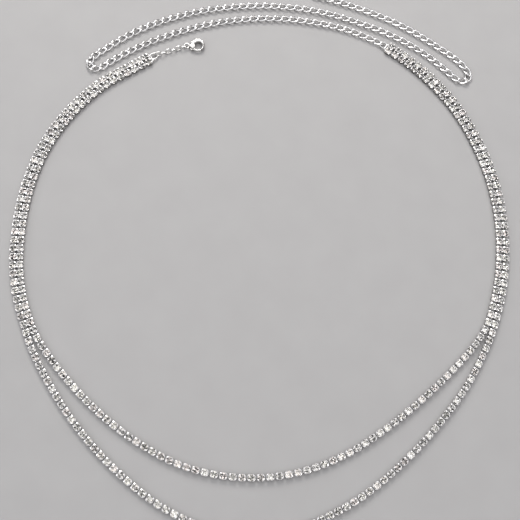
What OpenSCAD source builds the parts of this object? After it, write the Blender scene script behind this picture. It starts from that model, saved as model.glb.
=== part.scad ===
// Waist chain, lying flat and opened out into its loop. Two flanks of paired
// stone cups part into an upper and a lower swag. A lobster clasp hangs from the
// left flank, and a long extension chain runs from the right flank in three laps.
// X goes across the waist loop, Y from the swags towards the clasp, and the
// surface that it lies on is z = 0.

/* [Stones] */
// Diameter of a stone at its girdle
stone_d = 2.7; // [2.2:0.1:3.2]
// Share of a stone's diameter that its flat table takes
table_share = 0.55; // [0.4:0.05:0.7]
// Height of a stone's crown above the rim of its cup
crown_h = 0.55; // [0.4:0.05:0.9]
// Number of facets round a stone's crown
crown_facets = 8; // [8:2:12]

/* [Cups] */
// Width of the cup's rim round the stone
cup_wall = 0.2; // [0.15:0.05:0.35]
// Height of a cup from the surface to its rim
cup_h = 1.7; // [1.6:0.1:2.2]
// Gap between the walls of two neighbouring cups in a strand
cup_gap = 0.8; // [0.7:0.05:1.2]
// Depth to which the two cups of a pair are soldered into each other
solder = 0.08; // [0.05:0.01:0.2]
// Width of a prong
prong_w = 0.5; // [0.4:0.05:0.7]
// Reach of a prong from the cup's rim over the stone
prong_reach = 0.45; // [0.35:0.05:0.6]
// Height of a prong above the cup's rim
prong_h = 0.35; // [0.2:0.05:0.45]

/* [Links between cups] */
// Width of the flat link between two cups
tongue_w = 0.9; // [0.6:0.1:1]
// Thickness of that link
tongue_t = 0.35; // [0.25:0.05:0.45]
// Height of the link's underside above the surface
tongue_z = 0.9; // [0.8:0.05:0.95]
// Depth of the slot in a cup that takes the next cup's link
slot_depth = 0.55; // [0.45:0.05:0.7]
// Clearance round a link in its slot
play = 0.22; // [0.2:0.01:0.25]

/* [End loops] */
// Wire of the loop at the end of a flank
loop_wire = 0.7; // [0.5:0.05:0.8]
// Distance from the last cups to the loop's narrow end
loop_l = 3.8; // [3:0.1:4.5]
// Width of the loop's narrow end, between wire centres
loop_tip_w = 2.6; // [2.4:0.1:2.8]
// Thickening of the wire where the loop bends
loop_bend = 0.1; // [0.06:0.02:0.2]

/* [Small links at the clasp] */
// Wire of a small link
ring_wire = 0.5; // [0.45:0.05:0.6]
// Length of a small link over all
ring_l = 3.7; // [3.4:0.1:4.4]
// Width of a small link over all
ring_w = 2.5; // [2.4:0.1:2.8]
// Clearance between two small links where they meet
ring_play = 0.15; // [0.12:0.01:0.25]
// Clearance of the first and the last link, at the end loop and in the eye
hook_play = 0.55; // [0.5:0.01:0.6]
// Lean of a small link from lying flat
ring_lean = 55; // [52:1:58]
// Direction in which the small links lie
ring_angle = 23; // [20:1:30]

/* [Clasp] */
// Outer diameter of the clasp's claw
claw_d = 6.8; // [6:0.1:7.5]
// Width of the claw at its back
claw_back = 2.2; // [1.8:0.1:2.4]
// Width of the claw at its tip
claw_tip = 0.8; // [0.6:0.05:1]
// Thickness of the clasp
clasp_t = 2.2; // [2:0.1:2.8]
// Distance from the eye's centre to the claw's centre
claw_reach = 5.1; // [5:0.1:6]
// Distance of the claw's centre to the side of the eye's line
claw_rise = 0.4; // [0.2:0.1:0.9]
// Wire of the eye at the clasp's end
eye_wire = 0.6; // [0.5:0.05:0.65]
// Radius of the eye to the centre of its wire
eye_r = 1.2; // [1.15:0.05:1.3]
// Direction in which the clasp lies
clasp_angle = 4; // [-6:1:14]

/* [Lever] */
// Thickness of the lever
lever_t = 1; // [0.8:0.05:1.2]
// Width of the lever's bar
lever_w = 0.75; // [0.6:0.05:0.9]
// Diameter of the lever's knuckle round the rivet
knuckle_d = 1.5; // [1.4:0.05:1.6]
// Diameter of the rivet
rivet_d = 0.7; // [0.6:0.05:0.8]
// Clearance between the lever and the claw
lever_play = 0.12; // [0.1:0.01:0.15]
// Diameter of the thumb tab on the lever
tab_d = 1.1; // [0.9:0.1:1.3]

/* [Extension chain] */
// Width of the chain
curb_w = 3.4; // [3:0.1:4]
// Height of the chain
curb_h = 1.8; // [1.6:0.1:2.2]

/* [Hidden] */
$fn = 32;

// Middle of the left flank, from the clasp to where it parts into the swags
left_route = [
    [-59.5, 85.5], [-68, 79.5], [-77, 73], [-91.5, 57], [-102, 38], [-107.5, 17.5],
    [-109, -4], [-107, -25.5], [-100, -46]
];
// Middle of the right flank, from the extension chain to where it parts
right_route = [
    [56.5, 100.5], [74, 87.5], [88.5, 71], [99, 52], [106, 31.5], [109, 9.5], [108, -12],
    [103, -33.5]
];
// Upper swag, from the left flank to the right one
inner_route = [
    [-95, -52], [-91, -57.5], [-84, -65.5], [-68, -80.5], [-50, -93], [-29, -102.5],
    [-6, -106], [16.5, -103.5], [38, -95], [57, -82], [74, -67], [88, -52.5], [93.5, -46],
    [97.5, -40.5]
];
// Lower swag, from the left flank to the right one
outer_route = [
    [-98, -54.5], [-95, -60], [-88, -71], [-73.5, -89.5], [-56, -106], [-33, -121],
    [-18, -126.5], [-2, -128.5], [15.5, -126.5], [40, -115.5], [64, -96], [80, -78],
    [93.5, -58.5], [99, -47.5], [101.5, -42]
];
// Extension chain, from the right flank's loop to its free end
extension_route = [
    [48, 105], [37, 109], [17.5, 112.5], [-4.5, 112.5], [-26.5, 108.5], [-47, 101],
    [-66.5, 90.5], [-77.5, 82.5], [-82, 79], [-85, 78.5], [-87, 81], [-85.5, 84.5],
    [-80, 89.5], [-66.5, 100], [-47, 110], [-26, 116.5], [-4.5, 119.5], [17.5, 119],
    [39, 114.5], [60, 107], [75.5, 98], [84, 91], [88.5, 87], [92, 85.5], [95, 87],
    [95, 90.5], [92, 94.5], [78.5, 104.5], [61, 114.5], [42.5, 121.5], [23, 126.5],
    [14, 128]
];

// Longest step between two samples on the route of a strand of cups
strand_step = 1.5;
// Longest step between two rings of the extension chain's tube
tube_step = 8;
// Depth to which solids that are one piece run into each other
joined = 0.1;
// Directions from the rivet between which the claw is open for the lever
gate_from = -115;
gate_to = 0;
// Directions from the rivet between which the claw is slotted for the lever
slot_from = -140;
slot_to = 40;
// Direction of the thumb tab from the rivet
tab_angle = -110;
// Directions from the claw's centre to its thinnest place, to the rivet and to the
// lever's end
mouth_way = -50;
rivet_way = 205;
lever_way = -55;

cup_d = stone_d + 2 * cup_wall;
cup_pitch = cup_d + cup_gap;
row_pitch = cup_d - solder;
table_d = stone_d * table_share;
wire_z = tongue_z + tongue_t / 2;

// Direction of a vector, the unit vector at an angle, and a vector's own unit
function angle_of(v) = atan2(v.y, v.x);
function along(angle) = [cos(angle), sin(angle)];
function unit(v) = v / norm(v);

// Direction of a route at point i. The nearer neighbour counts for more, and at
// an end the route bends as much as it does at the next point.
function turn(a, b, c) = unit((b - a) / pow(norm(b - a), 2) + (c - b) / pow(norm(c - b), 2));
function mirrored(v, u) = 2 * (v * u) * u - v;
function heading(p, i) =
    let (last = len(p) - 1)
    i == 0 ? mirrored(turn(p[0], p[1], p[2]), unit(p[1] - p[0])) :
    i == last ? mirrored(turn(p[i - 2], p[i - 1], p[i]), unit(p[i] - p[i - 1])) :
    turn(p[i - 1], p[i], p[i + 1]);

// Point at share t of the bow from a to b, which leaves and arrives as told
function bow(a, b, leave, arrive, t) =
    let (reach = norm(b - a), u = 1 - t)
    a * u * u * (1 + 2 * t) + b * t * t * (3 - 2 * t)
    + reach * t * u * (u * leave - t * arrive);

// A route as a line of points no further apart than step. Spans that are skipped
// at both ends only set the direction there.
function smooth(p, step, skip = 0) = [
    for (i = [skip : len(p) - 2 - skip])
        let (n = ceil(norm(p[i + 1] - p[i]) / step))
        for (k = [0 : n - 1]) bow(p[i], p[i + 1], heading(p, i), heading(p, i + 1), k / n),
    p[len(p) - 1 - skip]
];

// The same line as a track: for each point its distance along the route, x and y
function track(line) = [
    for (i = 0, run = 0; i < len(line);
        run = run + norm(line[min(i + 1, len(line) - 1)] - line[i]), i = i + 1)
        [run, line[i].x, line[i].y]
];
function track_length(t) = t[len(t) - 1][0];
function spot(t, s) = [
    lookup(s, [for (row = t) [row[0], row[1]]]),
    lookup(s, [for (row = t) [row[0], row[2]]])
];
function spot_angle(t, s) =
    let (m = min(max(s, cup_gap), track_length(t) - cup_gap))
    angle_of(spot(t, m + cup_gap) - spot(t, m - cup_gap));

// Whole steps of about one pitch that fill a track, and their true length
function steps_in(t) = max(1, round(track_length(t) / cup_pitch));
function step_of(t) = track_length(t) / steps_in(t);

left_track = track(smooth(left_route, strand_step));
right_track = track(smooth(right_route, strand_step));

// Centre of a cup in the pair that is k steps before a flank's last one. Side is
// 1 on the left of the way down the flank, and -1 on the right.
function row_seat(t, k, side) =
    let (s = track_length(t) - k * step_of(t))
    spot(t, s) + side * row_pitch / 2 * along(spot_angle(t, s) + 90);

// A swag's track runs from cup to cup of the two last pairs that it hangs from
function swag_track(route, side) = track(smooth(concat(
    [row_seat(left_track, 1, side), row_seat(left_track, 0, side)],
    route,
    [row_seat(right_track, 0, -side), row_seat(right_track, 1, -side)]
), strand_step, 1));

// Way out of each flank's upper end, and the narrow end of the loop fixed there
left_out = spot_angle(left_track, 0) + 180;
right_out = spot_angle(right_track, 0) + 180;
left_tip = left_route[0] + (cup_d / 2 + loop_l) * along(left_out);
right_tip = right_route[0] + (cup_d / 2 + loop_l) * along(right_out);

// Small links: length and radius of the wire's centre line, their pitch, and the
// height of their axis when each leans and touches the surface
ring_c = ring_l - ring_wire;
ring_r = (ring_w - ring_wire) / 2;
ring_pitch = ring_c - ring_wire - ring_play;
ring_axis_z = ring_r * sin(ring_lean) + ring_wire / 2;
ring_first = ring_c / 2 - (loop_wire + ring_wire) / 2 - hook_play;
ring_count = 6;

// Centre of the clasp's eye, which the last small link passes through
eye_at = left_tip
    + (ring_first + (ring_count - 1) * ring_pitch + ring_c / 2
        - (eye_wire + ring_wire) / 2 - hook_play + eye_r) * along(ring_angle);

// Clasp, in its own frame with the eye's centre at the origin and z = 0 below
claw_r = claw_d / 2;
claw_at = [claw_reach, claw_rise];
mouth_d = claw_d - claw_back - claw_tip;
mouth_at = claw_at + (claw_back - claw_tip) / 2 * along(mouth_way);
knuckle_r = knuckle_d / 2;
cheek_r = knuckle_r + 0.3;
rivet_inset = 0.1;
rivet_at = claw_at + (claw_r - knuckle_r - rivet_inset) * along(rivet_way);
lever_r = claw_r - 0.05;
lever_end = claw_at + (lever_r - lever_w / 2) * along(lever_way);
lever_l = norm(lever_end - rivet_at);
slot_t = lever_t + 2 * lever_play;
neck_t = 1.4;
rivet_play = 0.05;

// Crown of a cut stone: facets slope in from the girdle to a flat table
module stone() {
    share = cos(180 / crown_facets) / 2;
    girdle = stone_d * share;
    table = table_d * share;
    color("azure") intersection_for(k = [0 : crown_facets / 2 - 1])
        rotate([90, 0, k * 360 / crown_facets])
            linear_extrude(height = 2 * stone_d, center = true)
                polygon([
                    [-girdle, -joined], [girdle, -joined], [girdle, 0],
                    [table, crown_h], [-table, crown_h], [-girdle, 0]
                ]);
}

// Space for a neighbour's link in a cup's wall
module slot() {
    translate([-cup_d, -tongue_w / 2 - play, tongue_z - play])
        cube([cup_d / 2 + slot_depth, tongue_w + 2 * play, tongue_t + 2 * play]);
}

// One cup with its stone and four prongs. The strand runs along x. The slot behind
// takes the last cup's link, and a swag's end cup has one ahead as well.
module cup(slot_ahead = false) {
    color("silver") difference() {
        cylinder(d = cup_d, h = cup_h);
        slot();
        if (slot_ahead) rotate([0, 0, 180]) slot();
    }
    translate([0, 0, cup_h]) stone();
    color("silver") for (a = [45 : 90 : 315]) rotate([0, 0, a])
        translate([cup_d / 2 - prong_reach - joined / 2, -prong_w / 2, cup_h - joined])
            cube([prong_reach, prong_w, prong_h + joined]);
}

// Flat link from a cup into the slot of the next one, a step further on
module tongue(step) {
    color("silver") translate([cup_d / 2 - joined, -tongue_w / 2, tongue_z])
        cube([step - cup_d + slot_depth - play + joined, tongue_w, tongue_t]);
}

// A flank: pairs of cups soldered side by side, spread evenly over its route
module double_row(t) {
    for (k = [0 : steps_in(t)])
        translate(spot(t, k * step_of(t))) rotate([0, 0, spot_angle(t, k * step_of(t))])
            for (side = [-1, 1]) translate([0, side * row_pitch / 2, 0]) {
                cup();
                tongue(step_of(t));
            }
}

// A swag: single cups between the last pairs of the two flanks
module swag(t) {
    last = steps_in(t) - 1;
    for (k = [1 : last])
        translate(spot(t, k * step_of(t))) rotate([0, 0, spot_angle(t, k * step_of(t))]) {
            cup(slot_ahead = k == last);
            if (k < last) tongue(step_of(t));
        }
}

// Straight wire between two points at the height of the links between cups
module wire(a, b, d) {
    translate([a.x, a.y, wire_z]) rotate([0, 90, angle_of(b - a)])
        cylinder(d = d, h = norm(b - a));
}

// Half a ring of wire on the side of +x
module half_ring(r, d) {
    rotate([0, 0, -90]) rotate_extrude(angle = 180) translate([r, 0]) circle(d = d);
}

// Loop at the end of a flank: a wire bail that narrows outwards along x, held by
// two flat feet in the slots of the last pair
module end_loop() {
    wide = cup_d / 2 + loop_wire / 2 + play;
    narrow = cup_d / 2 + loop_l - loop_tip_w / 2;
    color("silver") {
        for (side = [-1, 1]) {
            corner = [wide, side * row_pitch / 2];
            wire(corner, [narrow, side * loop_tip_w / 2], loop_wire);
            for (bend = [corner, [narrow, side * loop_tip_w / 2]])
                translate([bend.x, bend.y, wire_z])
                    cylinder(d = loop_wire + loop_bend, h = loop_wire + loop_bend, center = true);
            translate([cup_d / 2 - slot_depth + play, corner.y - tongue_w / 2, tongue_z])
                cube([slot_depth - play + loop_wire / 2 + play, tongue_w, tongue_t]);
        }
        wire([wide, -row_pitch / 2], [wide, row_pitch / 2], loop_wire);
        translate([narrow, 0, wire_z]) half_ring(loop_tip_w / 2, loop_wire);
    }
}

module left_end_loop() {
    translate(left_route[0]) rotate([0, 0, left_out]) end_loop();
}

module right_end_loop() {
    translate(right_route[0]) rotate([0, 0, right_out]) end_loop();
}

// Small oval link, number i from the flank. Each leans the other way from the
// last, so that they pass through each other.
module clasp_link(i) {
    half = ring_c / 2 - ring_r;
    lean = i % 2 == 0 ? -ring_lean : ring_lean;
    color("silver")
        translate(left_tip + (ring_first + (i - 1) * ring_pitch) * along(ring_angle))
            translate([0, 0, ring_axis_z]) rotate([0, 0, ring_angle]) rotate([lean, 0, 0])
                for (end = [0, 180]) rotate([0, 0, end]) {
                    translate([half, 0, 0]) half_ring(ring_r, ring_wire);
                    translate([-half, ring_r, 0]) rotate([0, 90, 0])
                        cylinder(d = ring_wire, h = 2 * half);
                }
}

// Place of the clasp on the surface
module at_clasp() {
    translate(eye_at) rotate([0, 0, clasp_angle]) children();
}

// Flat wedge that opens from the rivet between two directions
module wedge(from, to, reach) {
    middle = (from + to) / 2;
    translate(rivet_at)
        polygon([[0, 0], reach * along(from), 1.5 * reach * along(middle), reach * along(to)]);
}

// Outline of the claw: a ring that is thin at its tip, open where the lever is
module claw_outline() {
    difference() {
        translate(claw_at) circle(r = claw_r, $fn = 96);
        translate(mouth_at) circle(d = mouth_d, $fn = 96);
        intersection() {
            translate(rivet_at) circle(r = lever_l + lever_play, $fn = 96);
            wedge(gate_from, gate_to, 2 * claw_d);
        }
    }
    translate(rivet_at) circle(r = cheek_r);
}

// Claw, neck and eye of the clasp in one piece, slotted for the lever
module clasp_body() {
    middle = clasp_t / 2;
    color("silver") at_clasp() difference() {
        union() {
            linear_extrude(height = clasp_t) claw_outline();
            translate([0, 0, middle - neck_t / 2]) linear_extrude(height = neck_t)
                polygon([
                    [eye_r, -eye_wire / 2], [claw_at.x - claw_r + 1, -cheek_r],
                    [claw_at.x - claw_r + 1, cheek_r], [eye_r, eye_wire / 2]
                ]);
            translate([0, 0, middle])
                rotate_extrude() translate([eye_r, 0]) circle(d = eye_wire);
        }
        translate([0, 0, middle - slot_t / 2]) linear_extrude(height = slot_t) {
            translate(rivet_at) circle(r = knuckle_r + lever_play);
            wedge(slot_from, slot_to, cheek_r + tab_d);
        }
        translate([rivet_at.x, rivet_at.y, -1])
            cylinder(d = rivet_d + 2 * rivet_play, h = clasp_t + 2);
    }
}

// Lever that shuts the claw: a knuckle on the rivet, a bowed bar and a thumb tab
module clasp_lever() {
    color("gainsboro") at_clasp() translate([0, 0, (clasp_t - lever_t) / 2])
        linear_extrude(height = lever_t) difference() {
            intersection() {
                union() {
                    translate(rivet_at) circle(r = knuckle_r);
                    translate(rivet_at + (knuckle_r + tab_d / 2) * along(tab_angle))
                        circle(d = tab_d);
                    intersection() {
                        difference() {
                            translate(claw_at) circle(r = lever_r, $fn = 96);
                            translate(claw_at) circle(r = lever_r - lever_w, $fn = 96);
                        }
                        wedge(gate_from + 25, gate_to, 2 * claw_d);
                    }
                }
                translate(rivet_at) circle(r = lever_l, $fn = 96);
            }
            translate(rivet_at) circle(d = rivet_d + 2 * rivet_play);
        }
}

// Rivet through the claw's two cheeks and the lever's knuckle
module clasp_rivet() {
    color("silver") at_clasp() translate([rivet_at.x, rivet_at.y, rivet_play])
        cylinder(d = rivet_d, h = clasp_t - 2 * rivet_play);
}

// Extension chain as a flat tube of the chain's own width and height
module extension_chain() {
    start = right_tip + (loop_wire / 2 + ring_play) * along(right_out);
    line = smooth(concat([start], extension_route), tube_step);
    last = len(line) - 1;
    section = [
        for (side = [[1, 0.2], [0.6, 0.5], [-0.6, 0.5], [-1, 0.2],
                     [-1, -0.2], [-0.6, -0.5], [0.6, -0.5], [1, -0.2]])
            [side[0] * curb_w / 2, (side[1] + 0.5) * curb_h]
    ];
    sides = len(section);
    color("silver") polyhedron(
        points = [
            for (i = [0 : last])
                let (out = along(angle_of(heading(line, i)) - 90))
                for (p = section) [line[i].x + p[0] * out.x, line[i].y + p[0] * out.y, p[1]]
        ],
        faces = concat(
            [[for (k = [0 : sides - 1]) k]],
            [[for (k = [sides - 1 : -1 : 0]) last * sides + k]],
            [
                for (i = [0 : last - 1], k = [0 : sides - 1])
                    let (a = i * sides + k, b = i * sides + (k + 1) % sides)
                    for (face = [[a, a + sides, b], [b, a + sides, b + sides]]) face
            ]
        )
    );
}

double_row(left_track);  // left_double_row
double_row(right_track);  // right_double_row
swag(swag_track(inner_route, 1));  // inner_strand
swag(swag_track(outer_route, -1));  // outer_strand
left_end_loop();
right_end_loop();
clasp_link(1);  // clasp_link_1
clasp_link(2);  // clasp_link_2
clasp_link(3);  // clasp_link_3
clasp_link(4);  // clasp_link_4
clasp_link(5);  // clasp_link_5
clasp_link(6);  // clasp_link_6
clasp_body();
clasp_lever();
clasp_rivet();
extension_chain();
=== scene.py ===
import math

import bmesh
import bpy
from mathutils import Matrix, Quaternion, Vector


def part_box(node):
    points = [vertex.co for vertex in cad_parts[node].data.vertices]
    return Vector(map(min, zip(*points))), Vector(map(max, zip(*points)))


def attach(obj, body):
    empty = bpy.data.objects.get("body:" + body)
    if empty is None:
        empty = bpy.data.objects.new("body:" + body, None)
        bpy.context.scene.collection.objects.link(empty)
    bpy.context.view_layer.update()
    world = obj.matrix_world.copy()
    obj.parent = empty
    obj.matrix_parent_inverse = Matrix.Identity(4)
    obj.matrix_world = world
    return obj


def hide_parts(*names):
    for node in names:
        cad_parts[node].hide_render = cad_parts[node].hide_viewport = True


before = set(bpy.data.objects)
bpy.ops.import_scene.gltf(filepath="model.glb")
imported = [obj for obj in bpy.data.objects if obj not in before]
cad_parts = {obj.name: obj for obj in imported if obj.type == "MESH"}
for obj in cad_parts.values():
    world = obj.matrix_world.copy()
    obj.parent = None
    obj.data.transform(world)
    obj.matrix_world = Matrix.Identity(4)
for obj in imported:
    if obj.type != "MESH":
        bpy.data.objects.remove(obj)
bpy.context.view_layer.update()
mm = 0.001

# Flanks: two rows of stone cups soldered side by side, on each side of the waist.
# A cup is pressed from plated brass, with four prongs bent over a glass stone that
# is foiled behind, and a flat link hooks it into the slot of the next cup.

cup_d = 3.1 * mm
cup_pitch = 3.9 * mm
row_spacing = 3.02 * mm
route_step = 1.5 * mm
part_glass, part_foil, part_link = 1, 2, 3
left_route = [
    (-59.5, 85.5), (-68, 79.5), (-77, 73), (-91.5, 57), (-102, 38), (-107.5, 17.5),
    (-109, -4), (-107, -25.5), (-100, -46),
]
right_route = [
    (56.5, 100.5), (74, 87.5), (88.5, 71), (99, 52), (106, 31.5), (109, 9.5), (108, -12),
    (103, -33.5),
]


def in_metres(route):
    return [Vector(point) * mm for point in route]


def turn_at(before, here, after):
    """Direction of a route at a point, where the nearer neighbour counts for more."""
    come, leave = here - before, after - here
    return (come / come.length_squared + leave / leave.length_squared).normalized()


def headings_of(points):
    """Directions of a route at its points. At an end it bends as much as next to it."""
    inner = [turn_at(*points[i - 1:i + 2]) for i in range(1, len(points) - 1)]
    first = (points[1] - points[0]).normalized()
    last = (points[-1] - points[-2]).normalized()
    start = 2 * inner[0].dot(first) * first - inner[0]
    end = 2 * inner[-1].dot(last) * last - inner[-1]
    return [start] + inner + [end]


def smooth_route(points, step, skip=0):
    """The route as a line of close points. Skipped spans only set its direction."""
    headings = headings_of(points)
    line = []
    for i in range(skip, len(points) - 1 - skip):
        a, b = points[i], points[i + 1]
        reach = (b - a).length
        count = math.ceil(reach / step)
        for k in range(count):
            t = k / count
            u = 1 - t
            bow = t * u * reach * (u * headings[i] - t * headings[i + 1])
            line.append(a * u * u * (1 + 2 * t) + b * t * t * (3 - 2 * t) + bow)
    return line + [points[len(points) - 1 - skip]]


def length_of(line):
    return sum((b - a).length for a, b in zip(line, line[1:]))


def spot_on(line, distance):
    """Point of a line at a distance along it."""
    for a, b in zip(line, line[1:]):
        span = (b - a).length
        if distance <= span:
            return a.lerp(b, distance / span)
        distance -= span
    return line[-1]


def direction_on(line, distance):
    """Direction of a line at a distance along it, judged over the gap of two cups."""
    reach = cup_pitch - cup_d
    middle = min(max(distance, reach), length_of(line) - reach)
    return (spot_on(line, middle + reach) - spot_on(line, middle - reach)).normalized()


def steps_in(line):
    return round(length_of(line) / cup_pitch)


def path_object(name, line, height=0.0, closed=False):
    """A line as a mesh of edges, which the node trees below turn into a curve."""
    mesh = bpy.data.meshes.new(name)
    count = len(line)
    edges = [(i, (i + 1) % count) for i in range(count if closed else count - 1)]
    mesh.from_pydata([(p[0], p[1], p[2] if len(p) > 2 else height) for p in line], edges, [])
    return shown(name, mesh)


def shown(name, mesh):
    made = bpy.data.objects.new(name, mesh)
    bpy.context.scene.collection.objects.link(made)
    return made


def ring_of(bm, count, radius, height, centre=(0.0, 0.0), turn=0.0):
    """A ring of vertices. Its radius and height may change with the angle."""
    ring = []
    for k in range(count):
        angle = turn + k * math.tau / count
        r = radius(angle) if callable(radius) else radius
        z = height(angle) if callable(height) else height
        ring.append(bm.verts.new((
            centre[0] + r * math.cos(angle), centre[1] + r * math.sin(angle), z)))
    return ring


def band_between(bm, lower, upper):
    count = len(lower)
    for k in range(count):
        n = (k + 1) % count
        bm.faces.new((lower[k], lower[n], upper[n], upper[k]))


def closed_stack(bm, rings):
    """A closed skin through rings of vertices, with a flat face at each end."""
    for lower, upper in zip(rings, rings[1:]):
        band_between(bm, lower, upper)
    bm.faces.new(list(reversed(rings[0])))
    bm.faces.new(rings[-1])


def finished_mesh(bm, name, sharp_angle=None):
    """Turns the faces outwards. A sharp angle makes all softer edges look round."""
    bmesh.ops.recalc_face_normals(bm, faces=bm.faces)
    mesh = bpy.data.meshes.new(name)
    bm.to_mesh(mesh)
    bm.free()
    if sharp_angle is not None:
        mesh.shade_smooth()
        mesh.set_sharp_from_angle(angle=math.radians(sharp_angle))
    return mesh


def cup_mesh():
    """One cup: a thin wall that rises to each of its four prongs, and the prongs."""
    sides = 16
    wall_r, lip_r, pit_r, foot_r = 1.5 * mm, 1.39 * mm, 0.4 * mm, 1.3 * mm
    rim_low, rim_rise, corner = 1.36 * mm, 0.3 * mm, 0.26 * mm
    # Length along the strand, as a share of the width across it
    long_share = 1.1
    bm = bmesh.new()

    def at_prong(angle):
        return 0.5 - 0.5 * math.cos(4 * angle)

    def rim(angle):
        return rim_low + rim_rise * at_prong(angle) ** 2

    def wall(angle):
        return wall_r + corner * at_prong(angle)

    closed_stack(bm, [
        ring_of(bm, sides, foot_r, 0.0),
        ring_of(bm, sides, wall, 0.22 * mm),
        ring_of(bm, sides, wall, rim),
        ring_of(bm, sides, lip_r, lambda angle: rim(angle) - 0.02 * mm),
        ring_of(bm, sides, pit_r, 0.45 * mm),
    ])
    # Distance from the cup's axis, height, width, thickness (mm) and lean (degrees)
    prong = [
        (1.74, 1.0, 0.74, 0.18, 0), (1.78, 1.56, 0.72, 0.18, -8), (1.64, 1.9, 0.66, 0.2, -40),
        (1.34, 2.07, 0.56, 0.19, -66), (1.02, 2.1, 0.34, 0.1, -80),
    ]
    for k in range(4):
        facing = Matrix.Rotation(math.radians(45 + 90 * k), 3, "Z")
        rings = []
        for out, up, width, thick, lean in prong:
            across = Vector((0, width / 2, 0))
            through = Matrix.Rotation(math.radians(lean), 3, "Y") @ Vector((thick / 2, 0, 0))
            middle = Vector((out, 0, up))
            corners = [
                middle - across - through, middle + across - through,
                middle + across * 0.8 + through, middle - across * 0.8 + through,
            ]
            rings.append([bm.verts.new(facing @ corner * mm) for corner in corners])
        closed_stack(bm, rings)
    bmesh.ops.scale(bm, vec=(long_share, 1, 1), verts=bm.verts)
    return finished_mesh(bm, "cup", 38)


def stone_mesh():
    """A cut stone: table, star, bezel and upper facets, girdle, foiled point."""
    girdle_r, girdle_z, girdle_t = 1.33 * mm, 1.58 * mm, 0.06 * mm
    table_r, table_z = 0.76 * mm, 2.2 * mm
    star_r, star_z = 1.05 * mm, 1.98 * mm
    half_r, half_z = 0.62 * mm, 1.0 * mm
    point_z = 0.62 * mm
    bm = bmesh.new()
    part = bm.faces.layers.int.new("part")
    painted_facet_reflection = bm.faces.layers.float.new("painted_facet_reflection")
    eighth = math.tau / 8
    table = ring_of(bm, 8, table_r, table_z)
    star = ring_of(bm, 8, star_r, star_z, turn=eighth / 2)
    upper = ring_of(bm, 16, girdle_r, girdle_z + girdle_t)
    lower = ring_of(bm, 16, girdle_r, girdle_z)
    half = ring_of(bm, 8, half_r, half_z, turn=eighth / 2)
    point = bm.verts.new((0, 0, point_z))

    # Each face gets a painted reflection: a light or dark tone that the foil material shows,
    # standing in for the bright and dark surroundings its facets would mirror.
    def cut(corners, kind, painted_reflection):
        face = bm.faces.new(corners)
        face[part] = kind
        face[painted_facet_reflection] = painted_reflection

    cut(table, part_glass, 0.9)
    for k in range(8):
        n = (k + 1) % 8
        edge = 2 * k
        after, beyond = edge + 1, (edge + 2) % 16
        cut((table[k], table[n], star[k]), part_glass, 0.7)
        cut((table[k], star[k - 1], upper[edge], star[k]), part_glass, 0.4 + 0.1 * (k % 3))
        cut((star[k], upper[edge], upper[after]), part_glass, 0.2 + 0.15 * (k % 2))
        cut((star[k], upper[after], upper[beyond]), part_glass, 0.6)
        cut((upper[edge], lower[edge], lower[after], upper[after]), part_glass, 0.5)
        cut((upper[after], lower[after], lower[beyond], upper[beyond]), part_glass, 0.5)
        cut((half[k - 1], lower[edge], half[k], point), part_foil, (0.95, 0.5, 0.75)[k % 3])
        cut((half[k], lower[edge], lower[after]), part_foil, (0.15, 0.8)[k % 2])
        cut((half[k], lower[after], lower[beyond]), part_foil, (0.65, 0.3)[k % 2])
    return finished_mesh(bm, "stone")


def link_mesh():
    """Flat link: a strip that narrows between two cups and hooks into the next."""
    start, end = 1.4 * mm, cup_pitch - 1.4 * mm
    low, high = 0.85 * mm, 1.1 * mm
    # Share of the way between the two cups, and width there
    outline = [(0.0, 0.8), (0.25, 0.52), (0.6, 0.4), (0.85, 0.5), (1.0, 0.66)]
    bm = bmesh.new()
    part = bm.faces.layers.int.new("part")
    rings = []
    for share, width in outline:
        x = start + share * (end - start)
        half = width * mm / 2
        rings.append([
            bm.verts.new((x, y, z))
            for y, z in ((-half, low), (half, low), (half * 0.8, high), (-half * 0.8, high))])
    closed_stack(bm, rings)
    for face in bm.faces:
        face[part] = part_link
    return finished_mesh(bm, "link", 30)


def solder_mesh():
    """Drop of solder in the seam between the two cups of a pair."""
    bm = bmesh.new()
    place = (0.0, row_spacing / 2)
    closed_stack(bm, [
        ring_of(bm, 8, 0.26 * mm, 0.55 * mm, place),
        ring_of(bm, 8, 0.34 * mm, 0.8 * mm, place),
        ring_of(bm, 8, 0.32 * mm, 1.12 * mm, place),
        ring_of(bm, 8, 0.16 * mm, 1.26 * mm, place),
    ])
    return finished_mesh(bm, "solder", 60)


def input_called(node, name):
    return next(s for s in node.inputs if s.enabled and s.name == name)


def output_called(node, name=None):
    return next(s for s in node.outputs if s.enabled and name in (None, s.name))


def add_node(tree, kind, inputs=None, **settings):
    """A node with its settings. An input takes a value, a node or a node's output."""
    node = tree.nodes.new(kind)
    for name, value in settings.items():
        setattr(node, name, value)
    for name, value in (inputs or {}).items():
        socket = node.inputs[name] if isinstance(name, int) else input_called(node, name)
        if isinstance(value, bpy.types.Node):
            value = output_called(value)
        if isinstance(value, bpy.types.NodeSocket):
            tree.links.new(value, socket)
        else:
            socket.default_value = value
    return node


def start_tree(name, kind, inputs, outputs):
    """A new node tree or group, with named inputs and outputs: (name, socket type)."""
    tree = bpy.data.node_groups.new(name, kind)
    for label, socket in inputs:
        tree.interface.new_socket(label, in_out="INPUT", socket_type="NodeSocket" + socket)
    for label, socket in outputs:
        tree.interface.new_socket(label, in_out="OUTPUT", socket_type="NodeSocket" + socket)
    return tree, tree.nodes.new("NodeGroupInput").outputs, tree.nodes.new("NodeGroupOutput")


def maths(tree, operation, *values):
    return add_node(tree, "ShaderNodeMath", dict(enumerate(values)), operation=operation)


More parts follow.
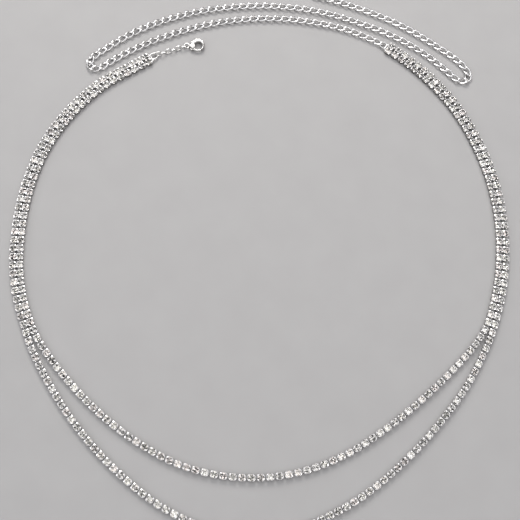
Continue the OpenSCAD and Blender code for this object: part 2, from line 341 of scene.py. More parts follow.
def cup_strand_tree():
    """Cups along a route in one or two rows, each with its stone and its flat link."""
    tree, given, result = start_tree("cup_strand", "GeometryNodeTree", [
        ("Route", "Geometry"), ("Cups", "Int"), ("Rows", "Int"), ("Row Spacing", "Float"),
        ("First Cup", "Int"), ("Last Cup", "Int"), ("Last Link", "Int"),
        ("Cup", "Object"), ("Stone", "Object"), ("Link", "Object"), ("Solder", "Object"),
        ("Stone Tilt", "Float"), ("Seed", "Int"),
        ("Metal", "Material"), ("Glass", "Material"), ("Foil", "Material"),
        ("Link Metal", "Material"),
    ], [("Strand", "Geometry")])
    route = add_node(tree, "GeometryNodeMeshToCurve", {"Mesh": given["Route"]})
    points = add_node(tree, "GeometryNodePoints", {
        "Count": maths(tree, "MULTIPLY", given["Cups"], given["Rows"])})
    index = add_node(tree, "GeometryNodeInputIndex")
    cup_number = maths(tree, "FLOOR", maths(tree, "DIVIDE", index, given["Rows"]))
    row = maths(tree, "MODULO", index, given["Rows"])
    along = maths(tree, "DIVIDE", cup_number, maths(tree, "SUBTRACT", given["Cups"], 1.0))
    place = add_node(
        tree, "GeometryNodeSampleCurve", {"Curves": route, "Factor": along}, mode="FACTOR")
    tangent = output_called(place, "Tangent")
    sideways = add_node(tree, "ShaderNodeVectorMath", {
        0: (0.0, 0.0, 1.0), 1: tangent}, operation="CROSS_PRODUCT")
    middle_row = maths(tree, "DIVIDE", maths(tree, "SUBTRACT", given["Rows"], 1.0), 2.0)
    offset = maths(
        tree, "MULTIPLY", maths(tree, "SUBTRACT", row, middle_row), given["Row Spacing"])
    shift = add_node(tree, "ShaderNodeVectorMath", {
        0: sideways, "Scale": offset}, operation="SCALE")
    seats = add_node(tree, "GeometryNodeSetPosition", {
        "Geometry": points, "Position": output_called(place, "Position"), "Offset": shift})
    facing = add_node(
        tree, "FunctionNodeAlignRotationToVector", {"Vector": tangent}, axis="X", pivot_axis="Z")

    def compared(a, operation, b):
        return add_node(tree, "FunctionNodeCompare", {"A": a, "B": b},
                        data_type="FLOAT", operation=operation)

    def both(a, b):
        return add_node(tree, "FunctionNodeBooleanMath", {0: a, 1: b}, operation="AND")

    def placed(label, where, turned):
        shape = add_node(tree, "GeometryNodeObjectInfo", {
            "Object": given[label], "As Instance": True})
        return add_node(tree, "GeometryNodeInstanceOnPoints", {
            "Points": seats, "Selection": where, "Rotation": turned,
            "Instance": output_called(shape, "Geometry")})

    from_first = compared(cup_number, "GREATER_EQUAL", given["First Cup"])
    seated = both(from_first, compared(cup_number, "LESS_EQUAL", given["Last Cup"]))
    linked = both(from_first, compared(cup_number, "LESS_EQUAL", given["Last Link"]))
    soldered = both(seated, compared(row, "LESS_THAN", middle_row))
    tilt = given["Stone Tilt"]
    lowest = add_node(tree, "ShaderNodeCombineXYZ", {
        "X": maths(tree, "MULTIPLY", tilt, -1.0), "Y": maths(tree, "MULTIPLY", tilt, -1.0)})
    highest = add_node(tree, "ShaderNodeCombineXYZ", {"X": tilt, "Y": tilt, "Z": math.tau})
    twist = add_node(tree, "FunctionNodeRandomValue", {
        "Min": lowest, "Max": highest, "Seed": given["Seed"]}, data_type="FLOAT_VECTOR")
    stone_turn = add_node(tree, "FunctionNodeRotateRotation", {
        "Rotation": facing, "Rotate By": twist}, rotation_space="LOCAL")
    stones = placed("Stone", seated, stone_turn)
    toned = add_node(tree, "GeometryNodeStoreNamedAttribute", {
        "Geometry": stones, "Name": "stone_tone", "Value": add_node(
            tree, "FunctionNodeRandomValue", {"Seed": given["Seed"]}, data_type="FLOAT")},
        data_type="FLOAT", domain="INSTANCE")
    joined = add_node(tree, "GeometryNodeJoinGeometry")
    for piece in (placed("Cup", seated, facing), toned, placed("Link", linked, facing),
                  placed("Solder", soldered, facing)):
        tree.links.new(output_called(piece), joined.inputs[0])
    dressed = add_node(tree, "GeometryNodeSetMaterial", {
        "Geometry": add_node(tree, "GeometryNodeRealizeInstances", {"Geometry": joined}),
        "Material": given["Metal"]})
    part = add_node(tree, "GeometryNodeInputNamedAttribute", {"Name": "part"}, data_type="INT")
    for label, kind in (("Glass", part_glass), ("Foil", part_foil), ("Link Metal", part_link)):
        dressed = add_node(tree, "GeometryNodeSetMaterial", {
            "Geometry": dressed, "Selection": compared(part, "EQUAL", float(kind)),
            "Material": given[label]})
    tree.links.new(output_called(dressed), result.inputs[0])
    return tree


def grown(name, path, tree, values):
    """The plain mesh that a tree makes of a path, as an object. The path goes."""
    modifier = path.modifiers.new(tree.name, "NODES")
    modifier.node_group = tree
    for item in tree.interface.items_tree:
        if item.in_out == "INPUT" and item.name in values:
            modifier[item.identifier] = values[item.name]
    evaluated = path.evaluated_get(bpy.context.evaluated_depsgraph_get())
    mesh = bpy.data.meshes.new_from_object(evaluated)
    mesh.name = name
    path.modifiers.remove(modifier)
    bpy.data.objects.remove(path)
    return shown(name, mesh)


def plating_wear_group():
    """Wear of plated metal: a haze from handling, and a net of fine scratches."""
    tree, given, result = start_tree("plating_wear", "ShaderNodeTree", [
        ("Haze Scale", "Float"), ("Scratch Scale", "Float"),
    ], [("Haze", "Float"), ("Scratches", "Float")])
    place = output_called(add_node(tree, "ShaderNodeTexCoord"), "Object")
    haze = add_node(tree, "ShaderNodeTexNoise", {
        "Vector": place, "Scale": given["Haze Scale"], "Detail": 5.0, "Roughness": 0.6})
    stretched = add_node(tree, "ShaderNodeMapping", {
        "Vector": place, "Rotation": (0.3, 0.2, 0.7), "Scale": (1.0, 7.0, 3.0)})
    scratches = add_node(tree, "ShaderNodeTexNoise", {
        "Vector": stretched, "Scale": given["Scratch Scale"], "Detail": 3.0})
    clear = add_node(tree, "ShaderNodeMapRange", {
        "Value": output_called(haze, "Fac"), "From Min": 0.35, "From Max": 0.7})
    fine = add_node(tree, "ShaderNodeMapRange", {
        "Value": output_called(scratches, "Fac"), "From Min": 0.5, "From Max": 0.72})
    tree.links.new(output_called(clear), result.inputs["Haze"])
    tree.links.new(output_called(fine), result.inputs["Scratches"])
    return tree


plating_wear = plating_wear_group()


def start_material(name, **plain):
    """A material with a Principled BSDF and the numbers that are the same all over."""
    material = bpy.data.materials.new(name)
    material.use_nodes = True
    shader = material.node_tree.nodes["Principled BSDF"]
    for label, value in plain.items():
        shader.inputs[label.replace("_", " ")].default_value = value
    return material, material.node_tree, shader


def plated(name, bright, dull, smooth, rough, haze_scale, scratch_scale, depth, low=None):
    """Plated metal: its colour where it is bright and where handling has dulled it,
    the roughness of both, and the scale and depth of its wear. Low down it may be
    darkened with painted shade, which takes a colour and the heights where that ends."""
    material, tree, shader = start_material(name, Metallic=1.0)
    wear = add_node(tree, "ShaderNodeGroup", {}, node_tree=plating_wear)
    wear.inputs["Haze Scale"].default_value = haze_scale
    wear.inputs["Scratch Scale"].default_value = scratch_scale
    colour = add_node(tree, "ShaderNodeMix", {
        "Factor": wear.outputs["Haze"], "A": (*bright, 1), "B": (*dull, 1)}, data_type="RGBA")
    if low is not None:
        painted_shade_colour, bottom, top = low
        # Painted shade: from the top height down to the bottom one the colour fades to the shade
        # colour, standing in for shade low between parts.
        spot = add_node(tree, "ShaderNodeSeparateXYZ", {
            "Vector": output_called(add_node(tree, "ShaderNodeTexCoord"), "Object")})
        rise = add_node(tree, "ShaderNodeMapRange", {
            "Value": output_called(spot, "Z"), "From Min": bottom, "From Max": top})
        colour = add_node(tree, "ShaderNodeMix", {
            "Factor": rise, "A": (*painted_shade_colour, 1), "B": output_called(colour, "Result")},
            data_type="RGBA")
    both = maths(tree, "ADD", wear.outputs["Haze"],
                 maths(tree, "MULTIPLY", wear.outputs["Scratches"], 0.5))
    roughness = add_node(tree, "ShaderNodeMapRange", {
        "Value": both, "From Max": 1.5, "To Min": smooth, "To Max": rough})
    bump = add_node(tree, "ShaderNodeBump", {
        "Height": wear.outputs["Scratches"], "Distance": depth, "Strength": 0.5})
    tree.links.new(output_called(colour, "Result"), shader.inputs["Base Color"])
    tree.links.new(output_called(roughness, "Result"), shader.inputs["Roughness"])
    tree.links.new(output_called(bump), shader.inputs["Normal"])
    return material


def cut_glass():
    """Clear glass, with a breath of rose in some stones and of grey in others."""
    material, tree, shader = start_material(
        "cut_glass", Transmission_Weight=1.0, IOR=1.57, Roughness=0.015)
    tone = add_node(tree, "ShaderNodeAttribute", attribute_name="stone_tone")
    tint = add_node(tree, "ShaderNodeValToRGB", {"Fac": output_called(tone, "Fac")})
    stops = tint.color_ramp.elements
    stops[0].color = (1.0, 0.955, 0.95, 1)
    stops[1].color = (0.975, 0.985, 0.99, 1)
    stops.new(0.55).color = (0.985, 1.0, 0.96, 1)
    tree.links.new(output_called(tint), shader.inputs["Base Color"])
    return material


def stone_foil():
    """Mirror foil behind a stone, with painted reflections: its facets are painted light or dark,
    in a pattern shifted for each stone, as the surroundings they mirror would be.
    """
    material, tree, shader = start_material("stone_foil", Metallic=1.0)
    painted_facet_reflection = output_called(
        add_node(tree, "ShaderNodeAttribute", attribute_name="painted_facet_reflection"), "Fac")
    stone = output_called(
        add_node(tree, "ShaderNodeAttribute", attribute_name="stone_tone"), "Fac")
    mixed = maths(tree, "FRACT", maths(tree, "ADD", painted_facet_reflection, maths(tree, "MULTIPLY", stone, 3.7)))
    tone = add_node(tree, "ShaderNodeValToRGB", {"Fac": mixed})
    stops = tone.color_ramp.elements
    stops[0].color = (0.04, 0.04, 0.04, 1)
    stops[1].color = (0.98, 0.96, 0.935, 1)
    stops.new(0.2).color = (0.1, 0.1, 0.095, 1)
    stops.new(0.3).color = (0.78, 0.76, 0.735, 1)
    stops.new(0.6).color = (0.96, 0.94, 0.91, 1)
    dull = add_node(tree, "ShaderNodeMapRange", {"Value": stone, "To Min": 0.06, "To Max": 0.16})
    tree.links.new(output_called(tone), shader.inputs["Base Color"])
    tree.links.new(output_called(dull), shader.inputs["Roughness"])
    return material


# The cups carry painted shade: their colour darkens low on the wall and in the cup, standing in
# for the shade in the gaps between cups.
cup_metal = plated(
    "cup_plating", bright=(0.86, 0.85, 0.84), dull=(0.66, 0.64, 0.62), smooth=0.16, rough=0.34,
    haze_scale=420, scratch_scale=2600, depth=0.004 * mm,
    low=((0.28, 0.275, 0.266), 0.95 * mm, 1.6 * mm))
# The flat links take a dark copy of the plating: painted shade, so that the gaps between the
# pairs of cups read dark.
link_painted_shade = plated(
    "link_painted_shade", bright=(0.22, 0.216, 0.21), dull=(0.16, 0.157, 0.153), smooth=0.34, rough=0.55,
    haze_scale=500, scratch_scale=2600, depth=0.004 * mm)
glass = cut_glass()
foil = stone_foil()
shapes = {
    "Cup": shown("cup", cup_mesh()), "Stone": shown("stone", stone_mesh()),
    "Link": shown("link", link_mesh()), "Solder": shown("solder", solder_mesh()),
}
cup_strand = cup_strand_tree()
stone_tilt = math.radians(1.5)
materials_of_a_cup = {
    "Metal": cup_metal, "Glass": glass, "Foil": foil, "Link Metal": link_painted_shade}


def flank(name, node, line, seed):
    """A flank: pairs of cups spread evenly over its line, from end to end."""
    steps = steps_in(line)
    piece = grown(name, path_object(name, line), cup_strand, {
        "Cups": steps + 1, "Rows": 2, "Row Spacing": row_spacing,
        "First Cup": 0, "Last Cup": steps, "Last Link": steps,
        "Stone Tilt": stone_tilt, "Seed": seed, **shapes, **materials_of_a_cup})
    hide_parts(node)
    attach(piece, "chain")


left_line = smooth_route(in_metres(left_route), route_step)
right_line = smooth_route(in_metres(right_route), route_step)
flank("left_flank", "left_double_row", left_line, seed=11)
flank("right_flank", "right_double_row", right_line, seed=23)

# Swags: one row of the same cups between the flanks, an upper one and a longer,
# lower one. Each hangs from the outer or the inner cup of the two last pairs, on
# the flat links of those cups.

inner_route = [
    (-95, -52), (-91, -57.5), (-84, -65.5), (-68, -80.5), (-50, -93), (-29, -102.5),
    (-6, -106), (16.5, -103.5), (38, -95), (57, -82), (74, -67), (88, -52.5), (93.5, -46),
    (97.5, -40.5),
]
outer_route = [
    (-98, -54.5), (-95, -60), (-88, -71), (-73.5, -89.5), (-56, -106), (-33, -121),
    (-18, -126.5), (-2, -128.5), (15.5, -126.5), (40, -115.5), (64, -96), (80, -78),
    (93.5, -58.5), (99, -47.5), (101.5, -42),
]


def row_seat(line, steps_before, side):
    """Centre of a cup in a flank's last pairs. Side is 1 left of the way down."""
    whole = length_of(line)
    distance = whole * (1 - steps_before / steps_in(line))
    ahead = direction_on(line, distance)
    return spot_on(line, distance) + side * row_spacing / 2 * Vector((-ahead.y, ahead.x))


def swag(name, node, route, side, seed):
    """A swag: single cups from flank to flank, without the pairs it hangs from."""
    ends = [row_seat(left_line, 1, side), row_seat(left_line, 0, side)]
    far_ends = [row_seat(right_line, 0, -side), row_seat(right_line, 1, -side)]
    line = smooth_route(ends + in_metres(route) + far_ends, route_step, skip=1)
    steps = steps_in(line)
    piece = grown(name, path_object(name, line), cup_strand, {
        "Cups": steps + 1, "Rows": 1, "Row Spacing": 0.0,
        "First Cup": 1, "Last Cup": steps - 1, "Last Link": steps - 2,
        "Stone Tilt": stone_tilt, "Seed": seed, **shapes, **materials_of_a_cup})
    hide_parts(node)
    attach(piece, "chain")


swag("upper_swag", "inner_strand", inner_route, side=1, seed=37)
swag("lower_swag", "outer_strand", outer_route, side=-1, seed=41)
for shape in shapes.values():
    bpy.data.objects.remove(shape)

# End loops: a wire bail at the upper end of each flank. Its wide end is held by two
# flat feet in the slots of the last pair of cups, and its narrow end takes the
# first small link or the extension chain.

loop_wire = 0.7 * mm
loop_reach = 3.8 * mm
loop_tip_w = 2.6 * mm
loop_corner = 0.45 * mm
slot_play = 0.22 * mm
loop_z = 1.075 * mm
loop_metal = plated(
    "loop_plating", bright=(0.7, 0.695, 0.68), dull=(0.56, 0.55, 0.53), smooth=0.1, rough=0.26,
    haze_scale=300, scratch_scale=1900, depth=0.004 * mm)


def rounded(corners, steps=6):
    """A closed outline through corners (x, y, radius), each rounded with an arc."""
    line = []
    for i, (x, y, radius) in enumerate(corners):
        here = Vector((x, y))
        before = Vector(corners[i - 1][:2])
        after = Vector(corners[(i + 1) % len(corners)][:2])
        back, ahead = (before - here).normalized(), (after - here).normalized()
        half = back.angle(ahead) / 2
        centre = here + (back + ahead).normalized() * radius / math.sin(half)
        start = here + back * radius / math.tan(half) - centre
        sweep = start.angle_signed(here + ahead * radius / math.tan(half) - centre)
        line += [
            centre + Matrix.Rotation(-sweep * k / steps, 2) @ start for k in range(steps + 1)]
    return line


def bent_wire_tree():
    """Round wire along a closed path, as smooth as its sides allow."""
    tree, given, result = start_tree("bent_wire", "GeometryNodeTree", [
        ("Path", "Geometry"), ("Wire", "Float"), ("Sides", "Int"), ("Metal", "Material"),
    ], [("Wire", "Geometry")])
    path = add_node(tree, "GeometryNodeMeshToCurve", {"Mesh": given["Path"]})
    section = add_node(tree, "GeometryNodeCurvePrimitiveCircle", {
        "Resolution": given["Sides"], "Radius": maths(tree, "DIVIDE", given["Wire"], 2.0)},
        mode="RADIUS")
    swept = add_node(tree, "GeometryNodeCurveToMesh", {
        "Curve": path, "Profile Curve": output_called(section, "Curve")})
    round_off = add_node(tree, "GeometryNodeSetShadeSmooth", {
        "Geometry": add_node(tree, "GeometryNodeRealizeInstances", {"Geometry": swept})})
    dressed = add_node(tree, "GeometryNodeSetMaterial", {
        "Geometry": round_off, "Material": given["Metal"]})
    tree.links.new(output_called(dressed), result.inputs[0])
    return tree


bent_wire = bent_wire_tree()


def joined_meshes(name, meshes, material):
    bm = bmesh.new()
    for mesh in meshes:
        bm.from_mesh(mesh)
    mesh = bpy.data.meshes.new(name)
    bm.to_mesh(mesh)
    bm.free()
    mesh.materials.append(material)
    return mesh


def foot_mesh(side):
    """Flat foot of an end loop, which lies in the slot of a cup."""
    start, end = cup_d / 2 - 0.2 * mm, cup_d / 2 + slot_play + loop_wire / 2
    y, half, low, high = side * row_spacing / 2, 0.42 * mm, 0.92 * mm, 1.23 * mm
    bm = bmesh.new()
    closed_stack(bm, [
        [bm.verts.new((x, y + a * half, z)) for a, z in (
            (-1, low), (1, low), (0.8, high), (-0.8, high))]
        for x in (start, end)])
    return finished_mesh(bm, "foot", 30)


def end_loop(name, node, line):
    """A bail that narrows away from the flank whose line starts at it."""
    out = -direction_on(line, 0)
    wide_x = cup_d / 2 + loop_wire / 2 + slot_play
    tip_x = cup_d / 2 + loop_reach
    tip_y = loop_tip_w / 2
    outline = rounded([
        (wide_x, row_spacing / 2, loop_corner), (tip_x, tip_y * 1.06, tip_y * 0.96),
        (tip_x, -tip_y * 1.06, tip_y * 0.96), (wide_x, -row_spacing / 2, loop_corner)])
    wire = grown(name + "_wire", path_object(name, outline, loop_z, closed=True), bent_wire, {
        "Wire": loop_wire, "Sides": 14, "Metal": loop_metal})
    mesh = joined_meshes(name, [wire.data, foot_mesh(1), foot_mesh(-1)], loop_metal)
    bpy.data.objects.remove(wire)
    mesh.transform(Matrix.Translation(line[0].to_3d())
                   @ Matrix.Rotation(math.atan2(out.y, out.x), 4, "Z"))
    piece = shown(name, mesh)
    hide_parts(node)
    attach(piece, "chain")
    return line[0] + tip_x * out


left_tip = end_loop("left_bail", "left_end_loop", left_line)
right_tip = end_loop("right_bail", "right_end_loop", right_line)

# Small links: six slim oval rings of round wire, closed by soldering, which lead
# from the left end loop to the clasp. Each leans against the next one, so that
# they pass through each other as they lie.

ring_count = 6
ring_wire = 0.5 * mm
ring_length = 3.7 * mm
ring_width = 2.5 * mm
ring_lean = math.radians(55)
ring_play, hook_play = 0.15 * mm, 0.55 * mm
ring_way = math.radians(23)
ring_metal = plated(
    "link_plating", bright=(0.7, 0.695, 0.68), dull=(0.56, 0.55, 0.53), smooth=0.1, rough=0.24,
    haze_scale=350, scratch_scale=2100, depth=0.003 * mm)


def led_in(line, reach):
    """The line with a straight stretch before its start."""
    return [line[0] + reach * (line[0] - line[1]).normalized()] + line


def link_run_tree():
    """Like links along a path, a pitch apart. Each lies straight between its joints
    with its neighbours, half a pitch before and after it. They lean to one side and
    the other in turn, and each is rocked a little at random."""
    tree, given, result = start_tree("link_run", "GeometryNodeTree", [
        ("Path", "Geometry"), ("Link", "Object"), ("Count", "Int"), ("Start", "Float"),
        ("Pitch", "Float"), ("Lean", "Float"), ("Rock", "Float"), ("Seed", "Int"),
        ("Metal", "Material"),
    ], [("Links", "Geometry")])
    path = add_node(tree, "GeometryNodeMeshToCurve", {"Mesh": given["Path"]})
    points = add_node(tree, "GeometryNodePoints", {"Count": given["Count"]})
    index = add_node(tree, "GeometryNodeInputIndex")
    distance = maths(tree, "MULTIPLY_ADD", index, given["Pitch"], given["Start"])
    half_pitch = maths(tree, "DIVIDE", given["Pitch"], 2.0)

    def joint(operation):
        place = add_node(tree, "GeometryNodeSampleCurve", {
            "Curves": path, "Length": maths(tree, operation, distance, half_pitch)},
            mode="LENGTH")
        return output_called(place, "Position")

    behind, ahead = joint("SUBTRACT"), joint("ADD")
    middle = add_node(tree, "ShaderNodeVectorMath", {
        0: add_node(tree, "ShaderNodeVectorMath", {0: behind, 1: ahead}, operation="ADD"),
        "Scale": 0.5}, operation="SCALE")
    way = add_node(
        tree, "ShaderNodeVectorMath", {0: ahead, 1: behind}, operation="SUBTRACT")
    seats = add_node(tree, "GeometryNodeSetPosition", {"Geometry": points, "Position": middle})
    facing = add_node(tree, "FunctionNodeAlignRotationToVector", {
        "Vector": way}, axis="X", pivot_axis="Z")
    side = maths(tree, "MULTIPLY_ADD", maths(tree, "MODULO", index, 2.0), -2.0, 1.0)
    rock = add_node(tree, "FunctionNodeRandomValue", {
        "Min": maths(tree, "MULTIPLY", given["Rock"], -1.0), "Max": given["Rock"],
        "Seed": given["Seed"]}, data_type="FLOAT")
    lean = maths(tree, "MULTIPLY_ADD", side, given["Lean"], rock)
    turned = add_node(tree, "FunctionNodeRotateRotation", {
        "Rotation": facing, "Rotate By": add_node(
            tree, "ShaderNodeCombineXYZ", {"X": lean})}, rotation_space="LOCAL")
    shape = add_node(tree, "GeometryNodeObjectInfo", {
        "Object": given["Link"], "As Instance": True})
    links = add_node(tree, "GeometryNodeInstanceOnPoints", {
        "Points": seats, "Rotation": turned, "Instance": output_called(shape, "Geometry")})
    dressed = add_node(tree, "GeometryNodeSetMaterial", {
        "Geometry": add_node(tree, "GeometryNodeRealizeInstances", {"Geometry": links}),
        "Material": given["Metal"]})
    tree.links.new(output_called(dressed), result.inputs[0])
    return tree


link_run = link_run_tree()
ring_span = ring_length - ring_wire
ring_half = (ring_width - ring_wire) / 2
ring_pitch = ring_span - ring_wire - ring_play
ring_first = ring_span / 2 - (loop_wire + ring_wire) / 2 - hook_play
ring_z = ring_half * math.sin(ring_lean) + ring_wire / 2
ring_outline = rounded([
    (ring_span / 2, ring_half, ring_half), (ring_span / 2, -ring_half, ring_half),
    (-ring_span / 2, -ring_half, ring_half), (-ring_span / 2, ring_half, ring_half)])
ring = grown("ring", path_object("ring", ring_outline, closed=True), bent_wire, {
    "Wire": ring_wire, "Sides": 12, "Metal": ring_metal})
ring_dir = Vector((math.cos(ring_way), math.sin(ring_way)))
ring_end = left_tip + (ring_count + 1) * ring_pitch * ring_dir
ring_path = path_object("small_links", led_in([left_tip, ring_end], ring_pitch), ring_z)
small_links = grown("small_links", ring_path, link_run, {
    "Link": ring, "Count": ring_count, "Start": ring_pitch + ring_first, "Pitch": ring_pitch,
    "Lean": ring_lean, "Rock": math.radians(1), "Seed": 5, "Metal": ring_metal})
bpy.data.objects.remove(ring)
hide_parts(*("clasp_link_%d" % (i + 1) for i in range(ring_count)))
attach(small_links, "chain")

# Clasp: a lobster clasp of cast and plated zinc. The claw, its neck and its eye are
# one casting with soft edges, the lever turns on a rivet between the claw's two
# cheeks, and a small spring inside them shuts it.

clasp_metal = plated(
    "clasp_plating", bright=(0.58, 0.575, 0.56), dull=(0.45, 0.44, 0.425), smooth=0.12, rough=0.3,
    haze_scale=260, scratch_scale=1500, depth=0.006 * mm)
clasp_low, clasp_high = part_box("clasp_body")
clasp_z = (clasp_low[2] + clasp_high[2]) / 2
claw_r, claw_back, claw_tip = 3.4 * mm, 2.2 * mm, 0.8 * mm
claw_at = Vector((clasp_high[0] - claw_r, clasp_high[1] - claw_r))
# The mouth lies off the claw's centre, 50 degrees clockwise of the clasp's own way
clasp_way = 4
mouth_way = math.radians(clasp_way - 50)
mouth_off = (claw_back - claw_tip) / 2
mouth_r = claw_r - (claw_back + claw_tip) / 2
mouth_at = claw_at + mouth_off * Vector((math.cos(mouth_way), math.sin(mouth_way)))
pin_low, pin_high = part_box("clasp_rivet")
pin_at = Vector(((pin_low[0] + pin_high[0]) / 2, (pin_low[1] + pin_high[1]) / 2))
cheek_r = 1.05 * mm


def fullness(place):
    """Share of its height that the claw keeps at a place, as its section is round.
    The cheeks at the pin stay flat."""
    to_edge = claw_r - (place - claw_at).length
    to_mouth = (place - mouth_at).length - mouth_r
    if to_edge < -0.2 * mm:
        return 1.0
    across = (to_mouth - to_edge) / max(abs(to_mouth + to_edge), 0.2 * mm)
    round_share = math.sqrt(1 - 0.75 * min(across ** 2, 1.0))
    near_pin = 1 - min(max(((place - pin_at).length - cheek_r) / (0.8 * mm), 0.0), 1.0)
    return round_share + (1 - round_share) * near_pin


def cast_form(name, node, voxel, rounds, share):
    """The form of a CAD node as a casting: its edges melt, its faces stay. The voxel's
    size is in mm, and share is the part of the triangles that is kept."""
    bm = bmesh.new()
    bm.from_mesh(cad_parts[node].data)
    bmesh.ops.remove_doubles(bm, verts=bm.verts, dist=0.001 * mm)
    bmesh.ops.scale(bm, vec=(1 / mm,) * 3, verts=bm.verts)
    mesh = bpy.data.meshes.new(name)
    bm.to_mesh(mesh)
    bm.free()
    raw = shown(name, mesh)
    remesh = raw.modifiers.new("voxels", "REMESH")
    remesh.mode = "VOXEL"
    remesh.voxel_size = voxel
    melt = raw.modifiers.new("melt", "SMOOTH")
    melt.factor = 0.5
    melt.iterations = rounds
    thin = raw.modifiers.new("thin", "DECIMATE")
    thin.ratio = share
    evaluated = raw.evaluated_get(bpy.context.evaluated_depsgraph_get())
    cast = bpy.data.meshes.new_from_object(evaluated)
    cast.name = name
    raw.modifiers.clear()
    bpy.data.objects.remove(raw)
    cast.transform(Matrix.Scale(mm, 4))
    for vertex in cast.vertices:
        vertex.co.z = clasp_z + (vertex.co.z - clasp_z) * fullness(vertex.co.xy)
    cast.shade_smooth()
    cast.materials.clear()
    cast.materials.append(clasp_metal)
    return shown(name, cast)


claw = cast_form("clasp_claw", "clasp_body", voxel=0.06, rounds=14, share=0.3)
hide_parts("clasp_body")
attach(claw, "chain")
lever = cast_form("clasp_trigger", "clasp_lever", voxel=0.045, rounds=12, share=0.4)
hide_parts("clasp_lever")
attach(lever, "clasp_lever")


def rivet_mesh():
    """Rivet with a low domed head above the claw's cheek and a flush end below."""
    top = pin_high[2] + 0.03 * mm
    bm = bmesh.new()
    closed_stack(bm, [
        ring_of(bm, 20, radius * mm, height, pin_at) for radius, height in (
            (0.3, pin_low[2]), (0.36, pin_low[2] + 0.06 * mm), (0.36, top), (0.56, top),
            (0.54, top + 0.07 * mm), (0.42, top + 0.13 * mm), (0.2, top + 0.16 * mm))])
    mesh = finished_mesh(bm, "clasp_pin", 35)
    mesh.materials.append(clasp_metal)
    return mesh


rivet = shown("clasp_pin", rivet_mesh())
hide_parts("clasp_rivet")
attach(rivet, "chain")

# Extension chain: a curb chain of steel wire, each link twisted so that the chain
# lies flat. It hooks into the right end loop, lies in three laps round the top of
# the waist, and the clasp takes any of its links to set the size.

extension_route = [
    (48, 105), (37, 109), (17.5, 112.5), (-4.5, 112.5), (-26.5, 108.5), (-47, 101),
    (-66.5, 90.5), (-77.5, 82.5), (-82, 79), (-85, 78.5), (-87, 81), (-85.5, 84.5),
    (-80, 89.5), (-66.5, 100), (-47, 110), (-26, 116.5), (-4.5, 119.5), (17.5, 119),
    (39, 114.5), (60, 107), (75.5, 98), (84, 91), (88.5, 87), (92, 85.5), (95, 87),
    (95, 90.5), (92, 94.5), (78.5, 104.5), (61, 114.5), (42.5, 121.5), (23, 126.5),
    (14, 128),
]
curb_length = 4.9 * mm
curb_width = 2.65 * mm
curb_wire = 0.84 * mm
curb_twist = math.radians(-48)
curb_pitch = 3.87 * mm
curb_z = 0.98 * mm
curb_metal = plated(
    "curb_plating", bright=(0.84, 0.83, 0.82), dull=(0.64, 0.63, 0.62), smooth=0.1, rough=0.26,
    haze_scale=380, scratch_scale=2300, depth=0.003 * mm)


def curb_outline(count=20):
    """Centre line of a curb link: an oval, twisted about the chain's own line. Its
    points lie closer together at the two ends, where it bends most."""
    crowding = 0.12
    line = []
    for k in range(count):
        step = math.tau * k / count
        angle = step - crowding * math.sin(2 * step)
        x = curb_length / 2 * math.cos(angle)
        y = curb_width / 2 * math.sin(angle)
        twist = curb_twist * math.cos(angle)
        line.append((x, y * math.cos(twist), y * math.sin(twist)))
    return line


curb = grown("curb", path_object("curb", curb_outline(), closed=True), bent_wire, {
    "Wire": curb_wire, "Sides": 7, "Metal": curb_metal})
right_out = -direction_on(right_line, 0)
curb_start = right_tip + (loop_wire / 2 + ring_play) * right_out
curb_line = smooth_route([curb_start] + in_metres(extension_route), route_step)
curb_first = curb_length / 2 - loop_wire - curb_wire - ring_play
curb_count = int((length_of(curb_line) - curb_first - curb_length / 2) / curb_pitch) + 1
curb_path = path_object("extension", led_in(curb_line, curb_pitch), curb_z)
extension = grown("extension_links", curb_path, link_run, {
    "Link": curb, "Count": curb_count, "Start": curb_pitch + curb_first, "Pitch": curb_pitch,
    "Lean": 0.0, "Rock": math.radians(2), "Seed": 7, "Metal": curb_metal})
bpy.data.objects.remove(curb)
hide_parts("extension_chain")
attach(extension, "chain")

# Studio: a pale matte floor, a large soft box above the far side of the chain,
# two weaker ones at the sides, and a camera high above the near side, turned a
# little about its own line of sight.


def floor_paint():
    """Pale paint with a faint, even grain."""
    material, tree, shader = start_material("floor_paint", Roughness=0.9)
    place = output_called(add_node(tree, "ShaderNodeTexCoord"), "Object")
    grain = add_node(tree, "ShaderNodeTexNoise", {"Vector": place, "Scale": 60.0})
    tone = add_node(tree, "ShaderNodeMix", {
        "Factor": output_called(grain, "Fac"),
        "A": (0.325, 0.32, 0.315, 1), "B": (0.355, 0.35, 0.345, 1)}, data_type="RGBA")
    tree.links.new(output_called(tone, "Result"), shader.inputs["Base Color"])
    return material


floor_size = 12.0
floor_z = -0.02 * mm
floor_mesh = bpy.data.meshes.new("floor")
floor_mesh.from_pydata([
    (x * floor_size / 2, y * floor_size / 2, floor_z)
    for x, y in ((-1, -1), (1, -1), (1, 1), (-1, 1))], [], [(0, 1, 2, 3)])
floor_mesh.materials.append(floor_paint())
shown("floor", floor_mesh)


def soft_box(name, place, size, watts, colour):
    """A square area light that faces the middle of the chain."""
    light = bpy.data.lights.new(name, "AREA")
    light.size = size
    light.energy = watts
    light.color = colour
    lamp = shown(name, light)
    lamp.location = place
    lamp.rotation_euler = (-Vector(place)).to_track_quat("-Z", "Y").to_euler()


soft_box("key_light", (-0.1, 0.62, 0.5), size=0.3, watts=4.0, colour=(1.0, 0.97, 0.94))
soft_box("left_fill", (-0.9, -0.1, 0.5), size=0.25, watts=1.2, colour=(0.94, 0.96, 1.0))
soft_box("right_fill", (0.8, -0.35, 0.7), size=0.2, watts=1.0, colour=(1.0, 0.95, 0.95))


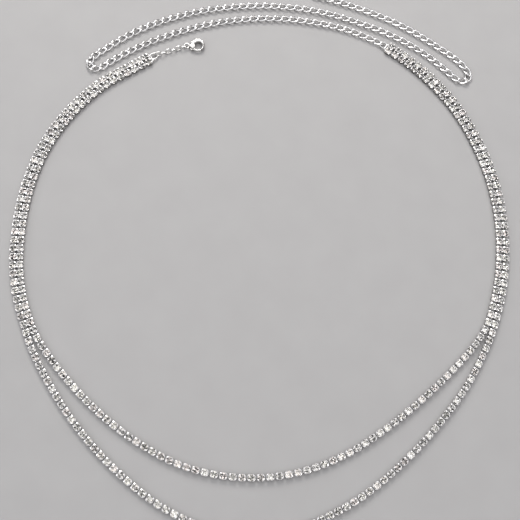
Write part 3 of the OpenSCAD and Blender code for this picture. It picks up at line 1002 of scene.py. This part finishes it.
def studio_world():
    """Soft light from all round: a bright ceiling, and walls of pale panels with dark
    gaps between them that the facets and the wires mirror. The walls are darker
    low down and on the near side, and plain at the horizon."""
    horizon_strength, ceiling_strength = 0.4, 1.4
    world = bpy.data.worlds.new("studio")
    world.use_nodes = True
    tree = world.node_tree
    way = output_called(add_node(tree, "ShaderNodeTexCoord"), "Generated")
    panels = add_node(tree, "ShaderNodeTexNoise", {
        "Vector": way, "Scale": 3.2, "Detail": 1.0, "Roughness": 0.4})
    lit = add_node(tree, "ShaderNodeMapRange", {
        "Value": output_called(panels, "Fac"), "From Min": 0.48, "From Max": 0.54,
        "To Min": 0.03, "To Max": 2.0})
    parts = add_node(tree, "ShaderNodeSeparateXYZ", {"Vector": way})
    height = output_called(parts, "Z")
    up = add_node(tree, "ShaderNodeMapRange", {
        "Value": height, "From Min": 0.0, "From Max": 0.6,
        "To Min": 0.2, "To Max": 1.0})
    across = add_node(tree, "ShaderNodeMapRange", {
        "Value": output_called(parts, "Y"), "From Min": -0.6, "From Max": 0.6,
        "To Min": 0.6, "To Max": 1.25})
    walls = maths(tree, "MULTIPLY", maths(tree, "MULTIPLY", lit, up), across)
    ceiling = add_node(tree, "ShaderNodeMapRange", {
        "Value": height, "From Min": 0.68, "From Max": 0.8})
    above = add_node(tree, "ShaderNodeMapRange", {
        "Value": height, "From Min": 0.08, "From Max": 0.16})
    low_half = add_node(tree, "ShaderNodeMix", {
        "Factor": above, "A": horizon_strength, "B": walls}, data_type="FLOAT")
    strength = add_node(tree, "ShaderNodeMix", {
        "Factor": ceiling, "A": low_half, "B": ceiling_strength}, data_type="FLOAT")
    background = tree.nodes["Background"]
    background.inputs["Color"].default_value = (0.97, 0.97, 1.0, 1)
    tree.links.new(output_called(strength), background.inputs["Strength"])
    return world


bpy.context.scene.world = studio_world()
bpy.context.scene.view_settings.view_transform = "Standard"

# The camera's place and its view were fitted to the evenly spaced stones
camera_data = bpy.data.cameras.new("camera")
camera_data.sensor_width = 36.0
camera_data.lens = 64.74
camera_data.clip_start = 0.01
camera = shown("camera", camera_data)
camera_place = Vector((-15.32, -136.7, 399.2)) * mm
camera_target = Vector((-1.0, -11.0, 1.9)) * mm
camera_roll = math.radians(9.809)
aim = (camera_target - camera_place).to_track_quat("-Z", "Y")
camera.location = camera_place
camera.rotation_euler = (aim @ Quaternion((0, 0, 1), camera_roll)).to_euler()
bpy.context.scene.camera = camera
